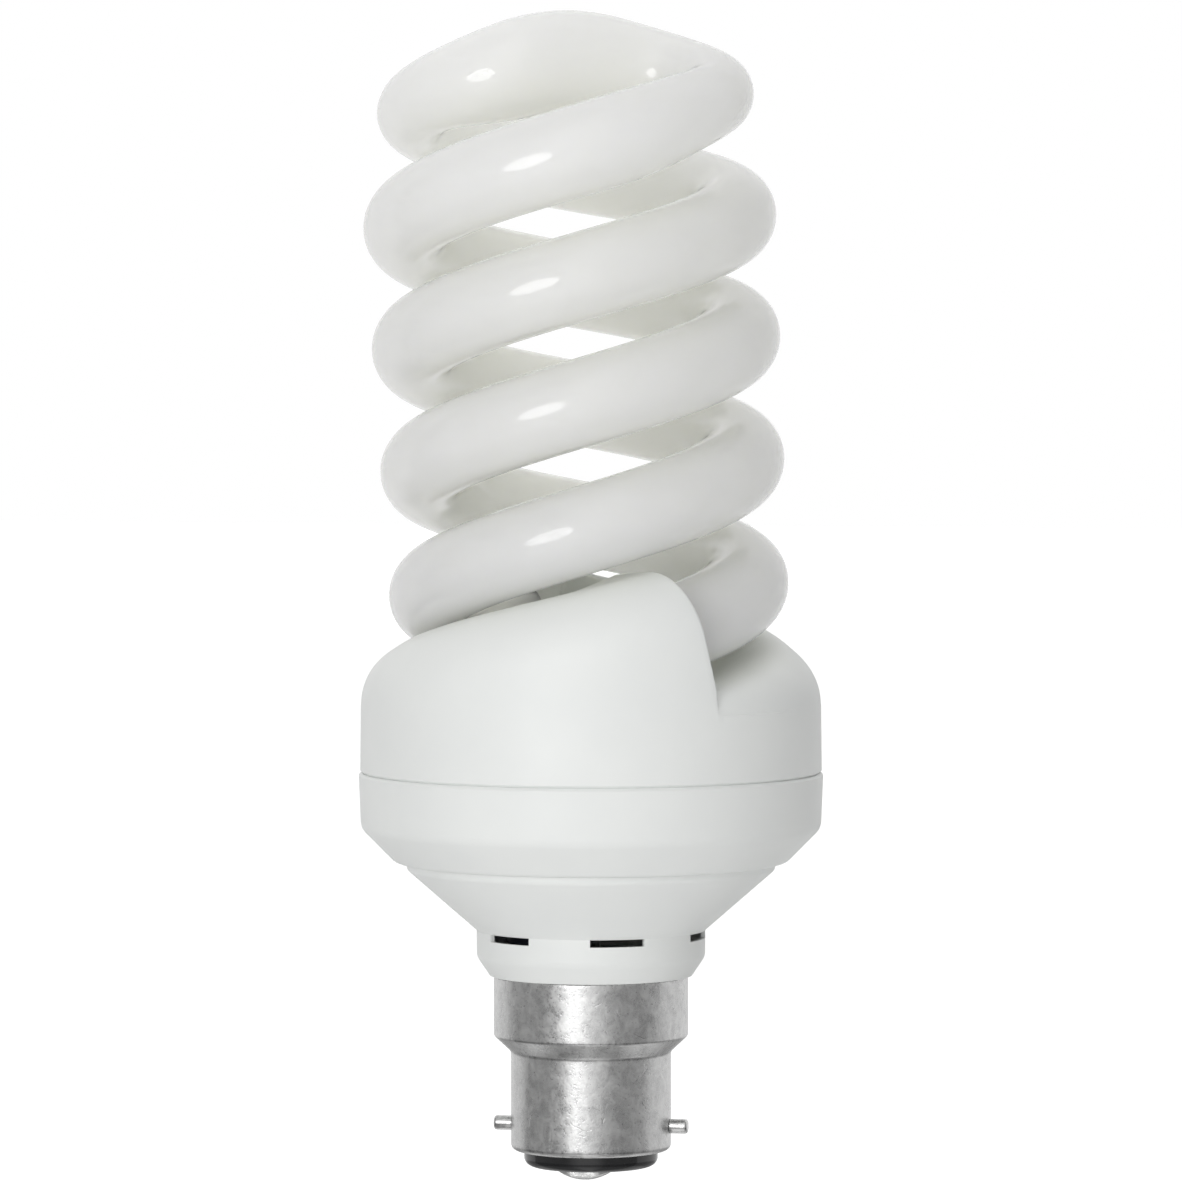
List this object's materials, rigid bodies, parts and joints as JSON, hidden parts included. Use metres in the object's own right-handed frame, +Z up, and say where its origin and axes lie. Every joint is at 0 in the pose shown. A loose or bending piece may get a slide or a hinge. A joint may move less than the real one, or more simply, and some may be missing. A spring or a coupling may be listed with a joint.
{
  "type": "spiral energy saving bulb",
  "caption": "Spiral fluorescent lamp: a coiled coated glass tube on a white ballast housing with helical shrouds and vent slots, ending in a bayonet cap.",
  "frame": {"origin": "on the cap's axis, in the plane of the bayonet pins", "axes": "+Z up the lamp from the cap towards the glass, +X along the bayonet pins"},
  "size_m": [0.0636, 0.0636, 0.1599],
  "materials": {
    "coated_glass": "glossy, opaque white coating inside",
    "white_plastic": "satin",
    "cap_metal": "brushed",
    "pin_metal": "satin",
    "black_glass": "glossy, opaque black",
    "solder": "satin",
    "white_cement": "matte",
    "brown_board": "matte",
    "dark_sleeve": "glossy",
    "ferrite": "matte",
    "black_plastic": "matte",
    "copper_wire": "enamelled",
    "red_film": "glossy",
    "tan_body": "matte",
    "blue_disc": "matte",
    "tinned_wire": "bright",
    "wire_cover": "matte"
  },
  "bodies": {
    "root": {"glass_spiral_tube": "coated_glass", "upper_cover": "white_plastic", "tube_cement": "white_cement", "lower_case": "white_plastic", "cap_shell": "cap_metal", "bayonet_pins": "pin_metal", "cap_insulator": "black_glass", "cap_contacts": "solder", "circuit_board": "brown_board", "electrolytic_capacitor": "dark_sleeve", "choke_core": "ferrite", "choke_bobbin": "black_plastic", "choke_winding": "copper_wire", "toroid_core": "ferrite", "toroid_windings": "copper_wire", "switching_transistors": "black_plastic", "resonance_capacitor": "red_film", "coupling_capacitor": "red_film", "filter_capacitor": "red_film", "filter_inductor": "ferrite", "inductor_winding": "copper_wire", "start_thermistor": "blue_disc", "rectifier_diodes": "black_plastic", "resistors": "tan_body", "fuse_resistor": "tan_body", "trigger_diac": "blue_disc", "wire_posts": "tinned_wire", "filament_leads": "tinned_wire", "mains_leads": "wire_cover"}
  },
  "joints": []
}
